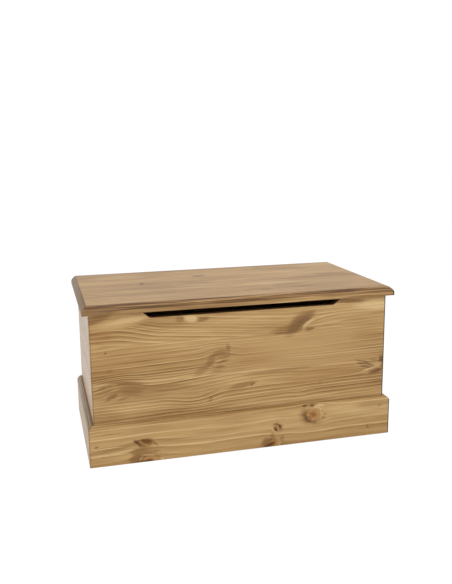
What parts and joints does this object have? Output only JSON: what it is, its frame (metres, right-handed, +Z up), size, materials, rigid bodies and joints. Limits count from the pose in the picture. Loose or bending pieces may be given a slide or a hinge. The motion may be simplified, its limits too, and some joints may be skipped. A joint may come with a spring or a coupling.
{
  "type": "storage trunk",
  "caption": "Waxed pine storage trunk: moulded hinged lid on slotted stays, finger slot under the lid, mitred moulded plinth.",
  "frame": {"origin": "centre of the footprint on the floor, hinge knuckles and lid overhang included", "axes": "+X along the length to the viewer's right, +Y to the back where the hinges are, +Z up"},
  "size_m": [0.885, 0.4748, 0.4453],
  "materials": {
    "front_pine": "waxed satin",
    "side_pine": "waxed satin",
    "back_pine": "waxed satin",
    "lid_pine": "waxed satin",
    "plinth_pine": "waxed satin",
    "batten_pine": "sawn, unwaxed",
    "base_ply": "plywood, unwaxed",
    "hinge_brass": "satin",
    "hinge_screw_brass": "satin",
    "stay_steel": "zinc plated",
    "screw_steel": "zinc plated"
  },
  "bodies": {
    "trunk": {"front_panel": "front_pine", "back_panel": "back_pine", "left_side_panel": "side_pine", "right_side_panel": "side_pine", "base_panel": "base_ply", "front_base_batten": "batten_pine", "back_base_batten": "batten_pine", "left_base_batten": "batten_pine", "right_base_batten": "batten_pine", "plinth_front": "plinth_pine", "plinth_left": "plinth_pine", "plinth_right": "plinth_pine", "left_hinge_body_leaf": "hinge_brass", "left_hinge_body_leaf_screw_1": "hinge_screw_brass", "left_hinge_body_leaf_screw_2": "hinge_screw_brass", "left_hinge_body_leaf_screw_3": "hinge_screw_brass", "left_hinge_pin": "hinge_brass", "right_hinge_body_leaf": "hinge_brass", "right_hinge_body_leaf_screw_1": "hinge_screw_brass", "right_hinge_body_leaf_screw_2": "hinge_screw_brass", "right_hinge_body_leaf_screw_3": "hinge_screw_brass", "right_hinge_pin": "hinge_brass", "left_stay_stud": "stay_steel", "left_stay_stud_plate": "stay_steel", "left_stay_stud_plate_screw_1": "screw_steel", "left_stay_stud_plate_screw_2": "screw_steel", "right_stay_stud": "stay_steel", "right_stay_stud_plate": "stay_steel", "right_stay_stud_plate_screw_1": "screw_steel", "right_stay_stud_plate_screw_2": "screw_steel"},
    "lid": {"lid_panel": "lid_pine", "left_lid_batten": "batten_pine", "left_lid_batten_screw_1": "screw_steel", "left_lid_batten_screw_2": "screw_steel", "left_lid_batten_screw_3": "screw_steel", "right_lid_batten": "batten_pine", "right_lid_batten_screw_1": "screw_steel", "right_lid_batten_screw_2": "screw_steel", "right_lid_batten_screw_3": "screw_steel", "left_hinge_lid_leaf": "hinge_brass", "left_hinge_lid_leaf_screw_1": "hinge_screw_brass", "left_hinge_lid_leaf_screw_2": "hinge_screw_brass", "left_hinge_lid_leaf_screw_3": "hinge_screw_brass", "right_hinge_lid_leaf": "hinge_brass", "right_hinge_lid_leaf_screw_1": "hinge_screw_brass", "right_hinge_lid_leaf_screw_2": "hinge_screw_brass", "right_hinge_lid_leaf_screw_3": "hinge_screw_brass", "left_stay_lid_bracket": "stay_steel", "left_stay_lid_bracket_screw_1": "screw_steel", "left_stay_lid_bracket_screw_2": "screw_steel", "left_stay_rivet": "stay_steel", "right_stay_lid_bracket": "stay_steel", "right_stay_lid_bracket_screw_1": "screw_steel", "right_stay_lid_bracket_screw_2": "screw_steel", "right_stay_rivet": "stay_steel"},
    "left_arm": {"left_stay_arm": "stay_steel"},
    "right_arm": {"right_stay_arm": "stay_steel"}
  },
  "joints": [
    {"name": "lid_hinge", "type": "hinge", "parent": "trunk", "child": "lid", "pos_m": [0, 0.2339, 0.42015], "axis": [-1, 0, 0], "range_deg": [0, 95]},
    {"name": "left_stay_pivot", "type": "hinge", "parent": "lid", "child": "left_arm", "pos_m": [-0.407, 0.08447, 0.40708], "axis": [-1, 0, 0], "range_deg": [-47.5, 0]},
    {"name": "right_stay_pivot", "type": "hinge", "parent": "lid", "child": "right_arm", "pos_m": [0.407, 0.08447, 0.40708], "axis": [-1, 0, 0], "range_deg": [-47.5, 0]}
  ],
  "couplings": [
    {"joint": "left_stay_pivot", "follows": "lid_hinge", "ratio": -0.5},
    {"joint": "right_stay_pivot", "follows": "lid_hinge", "ratio": -0.5}
  ]
}
